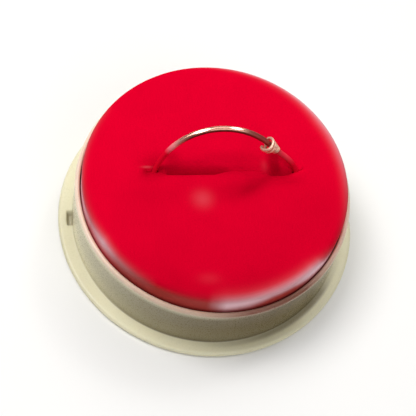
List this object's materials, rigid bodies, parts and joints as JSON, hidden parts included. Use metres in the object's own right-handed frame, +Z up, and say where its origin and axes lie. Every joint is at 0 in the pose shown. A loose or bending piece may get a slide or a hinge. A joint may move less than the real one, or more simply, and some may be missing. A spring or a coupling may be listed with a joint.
{
  "type": "hoop nose pin in a velvet pad in a round box base",
  "caption": "Wire nose hoop closed by a small coil, held leaning in the slit of a velvet-covered foam disc that fills the base of a small round flanged plastic box.",
  "frame": {"origin": "centre of the flat underside, at the centre of the bounding box in X and Y", "axes": "+Z up out of the pad, +X along the slit towards the coil's side, +Y the way the hoop leans back"},
  "size_m": [0.0276, 0.0276, 0.0126],
  "materials": {
    "ivory_plastic": "thin moulded ivory polystyrene, glossy",
    "velvet": "crimson velvet over foam, short pile",
    "gold_wire": "polished pale rose gold wire",
    "coil_wire": "polished pale rose gold wire, wound"
  },
  "bodies": {
    "root": {"cup": "ivory_plastic", "velvet_pad": "velvet", "hoop": "gold_wire", "coil_collar": "coil_wire"}
  },
  "joints": []
}
